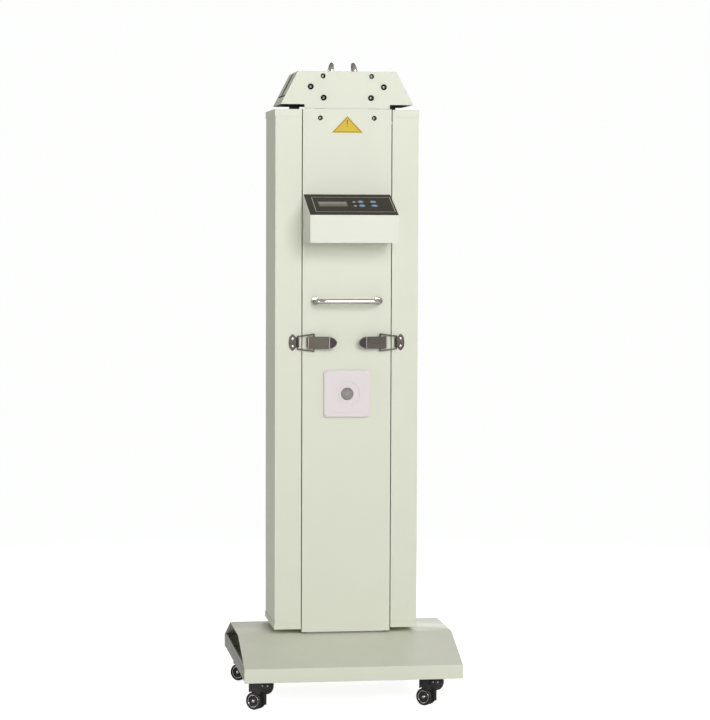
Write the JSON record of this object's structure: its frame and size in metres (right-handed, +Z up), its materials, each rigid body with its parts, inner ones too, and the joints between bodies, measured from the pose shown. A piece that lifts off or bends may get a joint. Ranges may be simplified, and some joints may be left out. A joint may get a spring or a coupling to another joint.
{
  "type": "mobile ultraviolet lamp trolley",
  "caption": "Wheeled trolley with a mast, a slanted control box, and lamp arms that hang on a hinge head, are held by draw latches and swing out level.",
  "frame": {"origin": "on the floor, under the middle of the base", "axes": "+X to the right, -Y to the front with the control box, +Z up"},
  "size_m": [0.4, 0.388, 1.1812],
  "materials": {
    "cream": "satin powder coat",
    "frame_grey": "grey primer",
    "zinc_steel": "zinc plated",
    "ballast_iron": "painted black",
    "box_white": "fine texture",
    "panel_black": "printed film",
    "display_glass": "clear window over a grey display",
    "key_blue": "domed keys",
    "led_lens": "diffused",
    "board_green": "solder mask",
    "ballast_case": "white enamel",
    "inlet_black": "moulded",
    "sensor_white": "moulded",
    "lens_grey": "segmented lens",
    "chrome": "polished",
    "latch_steel": "satin nickel",
    "label_yellow": "printed film",
    "reflector_bright": "bright rolled",
    "tube_glass": "clear quartz",
    "holder_white": "moulded",
    "caster_black": "moulded",
    "wheel_black": "tread"
  },
  "bodies": {
    "trolley": {"base_cover": "cream", "base_frame": "frame_grey", "ballast_plate": "ballast_iron", "caster_mounts": "zinc_steel", "mast_foot": "frame_grey", "mast_front_panel": "cream", "mast_rear_cover": "cream", "mast_posts": "frame_grey", "mast_screws": "zinc_steel", "power_inlet": "inlet_black", "lamp_ballasts": "ballast_case", "power_board": "board_green", "control_shell": "box_white", "control_overlay": "panel_black", "lcd_window": "display_glass", "control_board": "board_green", "status_leds": "led_lens", "sensor_plate": "sensor_white", "sensor_lens": "lens_grey", "sensor_body": "sensor_white", "front_handle": "chrome", "warning_label": "label_yellow", "head_cover": "cream", "head_rear_plate": "cream", "head_frame": "frame_grey", "head_screws": "zinc_steel", "stop_bolts": "zinc_steel", "pivot_bolts": "zinc_steel", "lifting_loops": "chrome", "latch_bases": "latch_steel"},
    "arm_left": {"arm_shell_left": "cream", "arm_trims_left": "cream", "arm_neck_left": "zinc_steel", "reflector_left": "reflector_bright", "uv_tube_left": "tube_glass", "lamp_holders_left": "holder_white", "latch_keeper_left": "latch_steel"},
    "lever_left": {"latch_lever_left": "latch_steel"},
    "bail_left": {"latch_bail_left": "latch_steel"},
    "arm_right": {"arm_shell_right": "cream", "arm_trims_right": "cream", "arm_neck_right": "zinc_steel", "reflector_right": "reflector_bright", "uv_tube_right": "tube_glass", "lamp_holders_right": "holder_white", "latch_keeper_right": "latch_steel"},
    "lever_right": {"latch_lever_right": "latch_steel"},
    "bail_right": {"latch_bail_right": "latch_steel"},
    "key_1": {"key_1": "key_blue"},
    "key_2": {"key_2": "key_blue"},
    "key_3": {"key_3": "key_blue"},
    "key_4": {"key_4": "key_blue"},
    "hood_fl": {"caster_hood_fl": "caster_black"},
    "wheels_fl": {"caster_wheels_fl": "wheel_black"},
    "hood_fr": {"caster_hood_fr": "caster_black"},
    "wheels_fr": {"caster_wheels_fr": "wheel_black"},
    "hood_bl": {"caster_hood_bl": "caster_black"},
    "wheels_bl": {"caster_wheels_bl": "wheel_black"},
    "hood_br": {"caster_hood_br": "caster_black"},
    "wheels_br": {"caster_wheels_br": "wheel_black"}
  },
  "joints": [
    {"name": "arm_left_swing", "type": "hinge", "parent": "trolley", "child": "arm_left", "pos_m": [-0.0676, -0.0115, 1.133], "axis": [0, 1, 0], "range_deg": [0, 90]},
    {"name": "arm_right_swing", "type": "hinge", "parent": "trolley", "child": "arm_right", "pos_m": [0.0676, -0.0115, 1.133], "axis": [0, -1, 0], "range_deg": [0, 90]},
    {"name": "lever_left_turn", "type": "hinge", "parent": "trolley", "child": "lever_left", "pos_m": [-0.07, -0.0852, 0.6651], "axis": [0, 0, -1], "range_deg": [-12, 98]},
    {"name": "bail_left_turn", "type": "hinge", "parent": "lever_left", "child": "bail_left", "pos_m": [-0.06137, -0.0855, 0.6651], "axis": [0, 0, -1], "range_deg": [-128, 16]},
    {"name": "lever_right_turn", "type": "hinge", "parent": "trolley", "child": "lever_right", "pos_m": [0.07, -0.0852, 0.6651], "axis": [0, 0, 1], "range_deg": [-12, 98]},
    {"name": "bail_right_turn", "type": "hinge", "parent": "lever_right", "child": "bail_right", "pos_m": [0.06137, -0.0855, 0.6651], "axis": [0, 0, 1], "range_deg": [-128, 16]},
    {"name": "key_1_press", "type": "slide", "parent": "trolley", "child": "key_1", "axis": [0, 0.349, -0.9371], "range_m": [0, 0.0008], "stiffness_N_per_m": 400},
    {"name": "key_2_press", "type": "slide", "parent": "trolley", "child": "key_2", "axis": [0, 0.349, -0.9371], "range_m": [0, 0.0008], "stiffness_N_per_m": 400},
    {"name": "key_3_press", "type": "slide", "parent": "trolley", "child": "key_3", "axis": [0, 0.349, -0.9371], "range_m": [0, 0.0008], "stiffness_N_per_m": 400},
    {"name": "key_4_press", "type": "slide", "parent": "trolley", "child": "key_4", "axis": [0, 0.349, -0.9371], "range_m": [0, 0.0008], "stiffness_N_per_m": 400},
    {"name": "swivel_fl", "type": "hinge", "parent": "trolley", "child": "hood_fl", "pos_m": [-0.157, -0.154, 0.05], "axis": [0, 0, 1], "continuous": true},
    {"name": "spin_fl", "type": "hinge", "parent": "hood_fl", "child": "wheels_fl", "pos_m": [-0.17347, -0.14018, 0.016], "axis": [0.6428, 0.766, 0], "continuous": true},
    {"name": "swivel_fr", "type": "hinge", "parent": "trolley", "child": "hood_fr", "pos_m": [0.157, -0.154, 0.05], "axis": [0, 0, 1], "continuous": true},
    {"name": "spin_fr", "type": "hinge", "parent": "hood_fr", "child": "wheels_fr", "pos_m": [0.14102, -0.13961, 0.016], "axis": [0.6691, 0.7431, 0], "continuous": true},
    {"name": "swivel_bl", "type": "hinge", "parent": "trolley", "child": "hood_bl", "pos_m": [-0.157, 0.134, 0.05], "axis": [0, 0, 1], "continuous": true},
    {"name": "spin_bl", "type": "hinge", "parent": "hood_bl", "child": "wheels_bl", "pos_m": [-0.17417, 0.14694, 0.016], "axis": [0.6018, 0.7986, 0], "continuous": true},
    {"name": "swivel_br", "type": "hinge", "parent": "trolley", "child": "hood_br", "pos_m": [0.157, 0.134, 0.05], "axis": [0, 0, 1], "continuous": true},
    {"name": "spin_br", "type": "hinge", "parent": "hood_br", "child": "wheels_br", "pos_m": [0.14102, 0.14839, 0.016], "axis": [0.6691, 0.7431, 0], "continuous": true}
  ],
  "couplings": [
    {"joint": "bail_left_turn", "follows": "lever_left_turn", "ratio": -1.3},
    {"joint": "bail_right_turn", "follows": "lever_right_turn", "ratio": -1.3}
  ]
}
